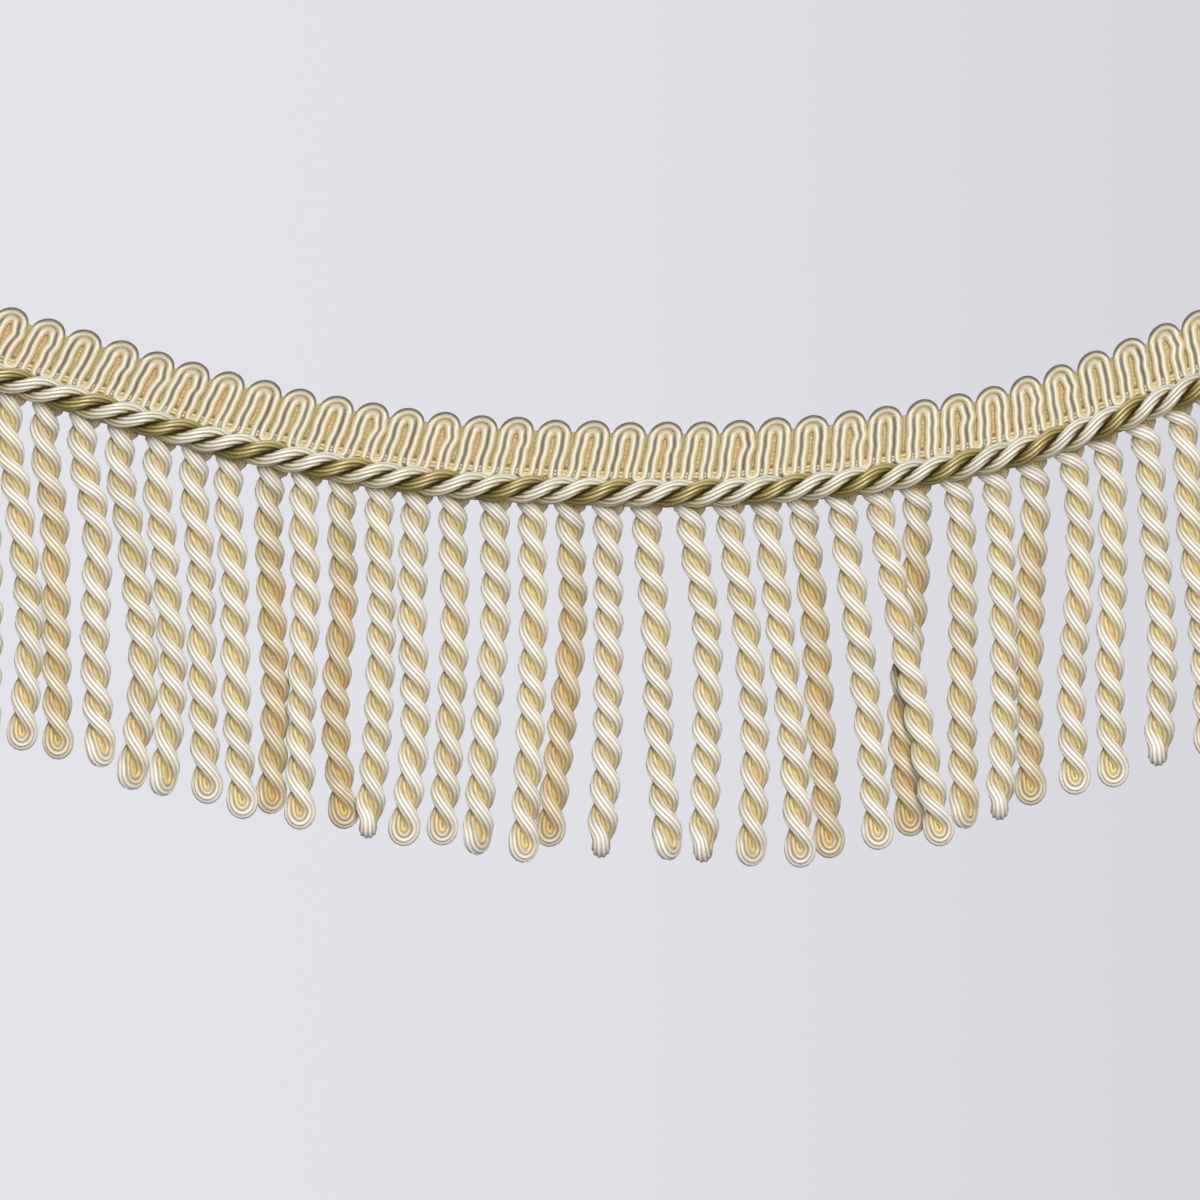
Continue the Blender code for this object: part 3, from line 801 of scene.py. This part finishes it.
YARN_BUMP = 0.05 * MM
GROUND_BUMP = 0.08 * MM

# Noise: how fast it changes for each millimetre, the last number being along the fibres
BROAD_STREAKS = (0.35, 0.35, 0.02)
FIBRE_STREAKS = (7.0, 7.0, 0.5)
FINEST_STREAKS = (22.0, 22.0, 1.5)
FINEST_SHARE = 0.3
HEADING_STREAKS = (6.0, 6.0, 0.4)
GROUND_STREAKS = (3.0, 3.0, 1.2)
STREAK_ROUGHNESS = 0.6
ROUGHNESS_SPREAD = 0.14
VALLEY_ROUGHNESS = 0.4

HEADING_IVORY = (0.61, 0.57, 0.475)
# painted shade colours of the yarns: ochre (also the warps' own colour), grey and dark grey
HEADING_OCHRE_AND_PAINTED_SHADE = (0.52, 0.43, 0.26)
HEADING_PAINTED_GREY_SHADE = (0.29, 0.255, 0.195)
HEADING_PAINTED_DARK_SHADE = (0.13, 0.115, 0.085)
HEADING_ROUGHNESS = 0.38
GROUND_ROUGHNESS = 0.6

# The ground's colours between two strengths of its noise, and the painted shade in its grooves
GROUND_OCHRE = ((0.3, (0.38, 0.255, 0.11)), (0.7, (0.50, 0.37, 0.19)))
GROUND_OLIVE = ((0.3, (0.29, 0.235, 0.11)), (0.7, (0.40, 0.33, 0.17)))
GROUND_BACK_IVORY = ((0.3, (0.50, 0.43, 0.29)), (0.7, (0.64, 0.57, 0.42)))
RIB_GROOVE_PAINTED_SHADE = (0.30, 0.19, 0.07)
BACK_RIB_GROOVE_PAINTED_SHADE = (0.30, 0.235, 0.12)
NOTCH_PAINTED_SHADOW = (0.20, 0.115, 0.035)
NOTCH_SCALE = 20.0  # the painted shadow notches over the cord: a band of heights, in shares of 20 mm
NOTCH_SHADOW_BAND = ((0.235, 0.0), (0.25, 1.0), (0.27, 1.0), (0.295, 0.0))


class Nodes:
    """Short calls for one material's nodes."""

    def __init__(self, name):
        self.material = bpy.data.materials.new(name)
        self.material.use_nodes = True
        self.tree = self.material.node_tree
        self.shader = self.tree.nodes["Principled BSDF"]

    def link(self, source, target):
        if isinstance(source, (int, float, tuple)):
            target.default_value = source
        else:
            self.tree.links.new(source, target)

    def attribute(self, name, output="Fac"):
        node = self.tree.nodes.new("ShaderNodeAttribute")
        node.attribute_name = name
        return node.outputs[output]

    def math(self, operation, first, second):
        node = self.tree.nodes.new("ShaderNodeMath")
        node.operation = operation
        self.link(first, node.inputs[0])
        self.link(second, node.inputs[1])
        return node.outputs[0]

    def ramp(self, value, stops, smooth=True):
        """Colours or plain strengths at places from 0 to 1."""
        node = self.tree.nodes.new("ShaderNodeValToRGB")
        node.color_ramp.interpolation = "EASE" if smooth else "LINEAR"
        elements = node.color_ramp.elements
        while len(elements) < len(stops):
            elements.new(0.5)
        for element, (place, colour) in zip(elements, stops):
            element.position = place
            element.color = (*(colour if isinstance(colour, tuple) else (colour,) * 3), 1.0)
        self.link(value, node.inputs["Fac"])
        return node.outputs["Color"]

    def mix(self, amount, first, second, blend="MIX"):
        node = self.tree.nodes.new("ShaderNodeMix")
        node.data_type = "RGBA"
        node.blend_type = blend
        self.link(amount, node.inputs["Factor"])
        for socket, value in ((node.inputs[6], first), (node.inputs[7], second)):
            self.link((*value, 1.0) if isinstance(value, tuple) else value, socket)
        return node.outputs[2]

    def streaks(self, scale, detail=2.0):
        """Noise drawn out along the fibres."""
        mapping = self.tree.nodes.new("ShaderNodeMapping")
        mapping.inputs["Scale"].default_value = scale
        self.link(self.attribute("fibre", "Vector"), mapping.inputs["Vector"])
        noise = self.tree.nodes.new("ShaderNodeTexNoise")
        noise.inputs["Scale"].default_value = 1.0
        noise.inputs["Detail"].default_value = detail
        noise.inputs["Roughness"].default_value = STREAK_ROUGHNESS
        self.link(mapping.outputs["Vector"], noise.inputs["Vector"])
        return noise.outputs["Fac"]

    def finish(self, colour, height, distance, roughness, constants):
        """Link what varies over the surface, and set what doesn't on the shader's sockets."""
        self.link(colour, self.shader.inputs["Base Color"])
        bump = self.tree.nodes.new("ShaderNodeBump")
        bump.inputs["Strength"].default_value = BUMP_STRENGTH
        bump.inputs["Distance"].default_value = distance
        self.link(height, bump.inputs["Height"])
        self.link(bump.outputs["Normal"], self.shader.inputs["Normal"])
        self.link(roughness, self.shader.inputs["Roughness"])
        self.shader.inputs["Sheen Roughness"].default_value = SHEEN_ROUGHNESS
        for socket, value in constants.items():
            self.shader.inputs[socket].default_value = (
                (*value, 1.0) if isinstance(value, tuple) else value
            )
        return self.material


def twisted_yarn(name):
    """Satin threads in a twisted bundle: pale on the crests, deep and warm between the plies."""
    row = dict(zip(YARN_COLUMNS, YARN_TABLE[name]))
    n = Nodes(name)
    body = n.ramp(n.attribute("inside"), row["colours"])
    tone = n.ramp(n.streaks(BROAD_STREAKS, 1.0), ((0.3, 0.86), (0.7, 1.0)))
    body = n.mix(1.0, body, tone, "MULTIPLY")
    fine = n.streaks(FIBRE_STREAKS)
    hair = n.ramp(fine, ((0.3, 0.84), (0.65, 1.0)))
    body = n.mix(1.0, body, hair, "MULTIPLY")
    # painted shade deepening towards each thread's groove
    groove_shade_stops = ((0.0, 1.0), (0.3, 0.86), (0.6, 0.74), (1.0, row["groove_painted_shade"]))
    groove_shade = n.ramp(n.attribute("groove"), groove_shade_stops, smooth=False)
    body = n.mix(1.0, body, groove_shade, "MULTIPLY")
    # painted shadow of the cord over the ropes' roots
    body = n.mix(n.attribute("root"), body, ROOT_PAINTED_SHADOW)
    # painted shade on ropes that hang farther back
    shaded_behind = n.mix(1.0, body, BEHIND_PAINTED_SHADE, "MULTIPLY")
    body = n.mix(n.attribute("behind"), body, shaded_behind)
    finest = n.math("MULTIPLY", n.streaks(FINEST_STREAKS), FINEST_SHARE)
    height = n.math("ADD", n.math("MULTIPLY", fine, 1.0 - FINEST_SHARE), finest)
    rough = n.math("ADD", n.math("MULTIPLY", fine, ROUGHNESS_SPREAD), row["roughness"])
    valley = n.ramp(n.attribute("groove"), ((0.4, 0.0), (1.0, 1.0)))
    rough = n.math("ADD", rough, n.math("MULTIPLY", valley, VALLEY_ROUGHNESS))
    return n.finish(body, height, YARN_BUMP, rough, {
        "Specular IOR Level": row["specular"],
        "Specular Tint": row["gleam"],
        "Sheen Weight": row["sheen"],
        "Sheen Tint": SHEEN_TINT,
    })


def heading_yarn():
    """The loops' satin yarn: painted grey shade where two yarns meet, painted ochre shade where
    one faces the ground.
    """
    n = Nodes("heading_yarn")
    fine = n.streaks(HEADING_STREAKS)
    hair = n.ramp(fine, ((0.3, 0.86), (0.65, 1.0)))
    body = n.mix(1.0, HEADING_IVORY, hair, "MULTIPLY")
    # painted ochre shade on yarn sides facing the ground, the warps' own ochre; painted grey and
    # dark shade where yarns meet and on the arch rims
    ochre_and_painted_shade = n.ramp(n.attribute("ochre_and_painted_shade"), ((0.0, 0.0), (0.34, 1.0)))
    body = n.mix(ochre_and_painted_shade, body, HEADING_OCHRE_AND_PAINTED_SHADE)
    shade = n.math("MULTIPLY", n.attribute("painted_grey_shade"), 0.5)
    body = n.mix(n.ramp(shade, ((0.13, 0.0), (0.31, 1.0))), body, HEADING_PAINTED_GREY_SHADE)
    body = n.mix(n.ramp(shade, ((0.41, 0.0), (0.56, 1.0))), body, HEADING_PAINTED_DARK_SHADE)
    rough = n.math("ADD", n.math("MULTIPLY", fine, ROUGHNESS_SPREAD), HEADING_ROUGHNESS)
    return n.finish(body, fine, YARN_BUMP, rough, {
        "Specular IOR Level": 0.5,
        "Sheen Weight": 0.1,
        "Sheen Tint": SHEEN_TINT,
    })


def woven_ground():
    """Ochre ribs, olive between the loops, painted shadow notches over the cord, painted shade in
    the rib grooves and a pale back.
    """
    n = Nodes("woven_ground")
    fine = n.streaks(GROUND_STREAKS)
    body = n.mix(n.attribute("between"), n.ramp(fine, GROUND_OCHRE), n.ramp(fine, GROUND_OLIVE))
    # painted shade in the rib grooves, front and back
    groove = n.ramp(n.attribute("groove"), ((0.3, 0.0), (0.95, 1.0)))
    body = n.mix(n.math("MULTIPLY", groove, 0.5), body, RIB_GROOVE_PAINTED_SHADE)
    # painted shadow notches over the cord, seen between the legs
    notch_shadow = n.ramp(n.math("DIVIDE", n.attribute("height"), NOTCH_SCALE), NOTCH_SHADOW_BAND)
    body = n.mix(notch_shadow, body, NOTCH_PAINTED_SHADOW)
    pale = n.ramp(fine, GROUND_BACK_IVORY)
    pale = n.mix(n.math("MULTIPLY", groove, 0.6), pale, BACK_RIB_GROOVE_PAINTED_SHADE)
    body = n.mix(n.attribute("behind"), body, pale)
    return n.finish(body, fine, GROUND_BUMP, GROUND_ROUGHNESS, {
        "Specular IOR Level": 0.3,
        "Sheen Weight": 0.15,
        "Sheen Tint": GROUND_SHEEN_TINT,
    })


# Stage

# The backdrop's colour from its left to its right, within what the camera sees
BACKDROP = (
    (0.0, (0.776, 0.768, 0.815)),
    (0.5, (0.752, 0.744, 0.79)),
    (1.0, (0.680, 0.672, 0.716)),
)
BACKDROP_REACH = 0.06
AMBIENT_COLOUR = (0.93, 0.95, 1.0)
AMBIENT_STRENGTH = 0.15

FLOOR_SIZE = 2.6
FLOOR_BACK = 0.1
FLOOR_COLOUR = (0.06, 0.06, 0.063)
FLOOR_ROUGHNESS = 0.9
FLOOR_GLOW = (0.738, 0.730, 0.776)
FLOOR_GLOW_STRENGTH = 0.85

# Soft boxes aimed at the fringe: degrees, azimuth from the front towards the right; metres; watts
LIGHT_COLUMNS = ("name", "azimuth", "elevation", "width", "height", "watts", "colour", "glossy")
LIGHT_TABLE = (
    ("front", 5.0, 8.0, 0.45, 0.9, 45.0, (1.0, 0.98, 0.94), True),
    ("upper", 3.0, 36.0, 0.5, 1.0, 14.0, (1.0, 0.98, 0.95), True),
    ("top", 0.0, 66.0, 0.7, 1.0, 5.0, (1.0, 0.99, 0.97), True),
    ("lower", 0.0, -28.0, 0.5, 0.9, 2.0, (1.0, 0.98, 0.95), True),
    ("back", 180.0, 20.0, 0.9, 0.9, 20.0, (1.0, 0.99, 0.97), True),
    ("behind", 180.0, 5.0, 1.2, 1.2, 24.0, (1.0, 0.98, 0.95), False),
    ("left", -90.0, 12.0, 0.8, 0.8, 7.0, (1.0, 0.98, 0.95), False),
    ("right", 90.0, 12.0, 0.8, 0.8, 7.0, (1.0, 0.98, 0.95), False),
)


def add_camera():
    data = bpy.data.cameras.new("camera")
    data.sensor_width = SENSOR_WIDTH
    data.lens = SENSOR_WIDTH * CAMERA_DISTANCE / VIEW_WIDTH
    data.clip_start = CLIP_START
    camera = bpy.data.objects.new("camera", data)
    camera.location = (VIEW_CENTRE[0], VIEW_CENTRE[1] - CAMERA_DISTANCE, VIEW_CENTRE[2])
    camera.rotation_euler = (math.pi / 2, 0.0, 0.0)
    bpy.context.scene.collection.objects.link(camera)
    bpy.context.scene.camera = camera


def add_light(name, azimuth, elevation, width, height, watts, colour, glossy):
    """A soft box that the camera doesn't see."""
    data = bpy.data.lights.new(name, "AREA")
    data.shape = "RECTANGLE"
    data.size = width
    data.size_y = height
    data.energy = watts
    data.color = colour
    light = bpy.data.objects.new(name, data)
    turn = math.radians(azimuth)
    rise = math.radians(elevation)
    level = math.cos(rise)
    away = np.array((math.sin(turn) * level, -math.cos(turn) * level, math.sin(rise)))
    light.location = np.array(VIEW_CENTRE) + LIGHT_DISTANCE * away
    light.rotation_euler = (math.pi / 2 - rise, 0.0, turn)
    light.visible_camera = False
    light.visible_glossy = glossy
    bpy.context.scene.collection.objects.link(light)


def add_world():
    """A pale backdrop that the camera sees, and weak light of the same kind."""
    world = bpy.data.worlds.new("studio")
    world.use_nodes = True
    bpy.context.scene.world = world
    tree = world.node_tree
    tree.nodes.clear()
    output = tree.nodes.new("ShaderNodeOutputWorld")
    mix = tree.nodes.new("ShaderNodeMixShader")
    seen = tree.nodes.new("ShaderNodeBackground")
    ambient = tree.nodes.new("ShaderNodeBackground")
    path = tree.nodes.new("ShaderNodeLightPath")
    coordinates = tree.nodes.new("ShaderNodeTexCoord")
    parts = tree.nodes.new("ShaderNodeSeparateXYZ")
    across = tree.nodes.new("ShaderNodeMapRange")
    fading = tree.nodes.new("ShaderNodeValToRGB")
    across.inputs["From Min"].default_value = -BACKDROP_REACH
    across.inputs["From Max"].default_value = BACKDROP_REACH
    stops = fading.color_ramp.elements
    stops.new(0.5)
    for stop, (place, colour) in zip(stops, BACKDROP):
        stop.position = place
        stop.color = (*colour, 1.0)
    tree.links.new(coordinates.outputs["Generated"], parts.inputs[0])
    tree.links.new(parts.outputs["X"], across.inputs["Value"])
    tree.links.new(across.outputs[0], fading.inputs["Fac"])
    tree.links.new(fading.outputs["Color"], seen.inputs["Color"])
    seen.inputs["Strength"].default_value = 1.0
    ambient.inputs["Color"].default_value = (*AMBIENT_COLOUR, 1.0)
    ambient.inputs["Strength"].default_value = AMBIENT_STRENGTH
    tree.links.new(path.outputs["Is Camera Ray"], mix.inputs["Fac"])
    tree.links.new(ambient.outputs[0], mix.inputs[1])
    tree.links.new(seen.outputs[0], mix.inputs[2])
    tree.links.new(mix.outputs[0], output.inputs["Surface"])


def add_floor():
    """A plain pale floor well below the fringe, with a weak glow that keeps it even."""
    bpy.ops.mesh.primitive_plane_add(size=FLOOR_SIZE, location=(0.0, FLOOR_BACK, FLOOR_HEIGHT))
    floor = bpy.context.object
    floor.name = "floor"
    material = bpy.data.materials.new("pale_floor")
    material.use_nodes = True
    shader = material.node_tree.nodes["Principled BSDF"]
    shader.inputs["Base Color"].default_value = (*FLOOR_COLOUR, 1.0)
    shader.inputs["Roughness"].default_value = FLOOR_ROUGHNESS
    shader.inputs["Specular IOR Level"].default_value = 0.0
    shader.inputs["Emission Color"].default_value = (*FLOOR_GLOW, 1.0)
    shader.inputs["Emission Strength"].default_value = FLOOR_GLOW_STRENGTH
    floor.data.materials.append(material)
    floor.visible_diffuse = False
    floor.visible_glossy = False


def main():
    add_camera()
    add_world()
    add_floor()
    for values in LIGHT_TABLE:
        add_light(**dict(zip(LIGHT_COLUMNS, values)))
    bpy.context.scene.view_settings.view_transform = "Standard"

    random = np.random.default_rng(7)
    rope_yarn = twisted_yarn("rope_yarn")
    for index, values in enumerate(ROPE_TABLE):
        rope_piece(index, dict(zip(ROPE_COLUMNS, values)), rope_yarn, random)

    ivory = twisted_yarn("cord_ivory")
    gold = twisted_yarn("cord_gold")
    cord_ply(0, "cord_gold_ply", gold, random)
    cord_ply(1, "cord_ivory_ply_1", ivory, random)
    cord_ply(2, "cord_ivory_ply_2", ivory, random)

    yarn = heading_yarn()
    outer = yarn_piece(
        "heading_outer_yarn", OUTER_HALF, OUTER_SPRING, OUTER_RISE, OUTER_FOOT, OUTER_FOOT_DROP,
        True, yarn, random,
    )
    inner = yarn_piece(
        "heading_inner_yarn", INNER_HALF, INNER_SPRING, INNER_RISE, INNER_FOOT, INNER_FOOT_DROP,
        False, yarn, random,
    )
    warps = warp_threads(yarn, random)
    woven = woven_ground()
    ground = ribbed_band(
        "heading_ground", GROUND_FOOT, GROUND_TOP, GROUND_FRONT, GROUND_BACK, GROUND_RIBS,
        True, "heading", woven, GROUND_FIBRE_SHIFT,
    )
    ribbed_band(
        "foot_strip", -STRIP_BOTTOM, -STRIP_TOP, STRIP_FRONT, STRIP_BACK, STRIP_RIBS,
        False, "skirt", woven, STRIP_FIBRE_SHIFT,
    )


main()
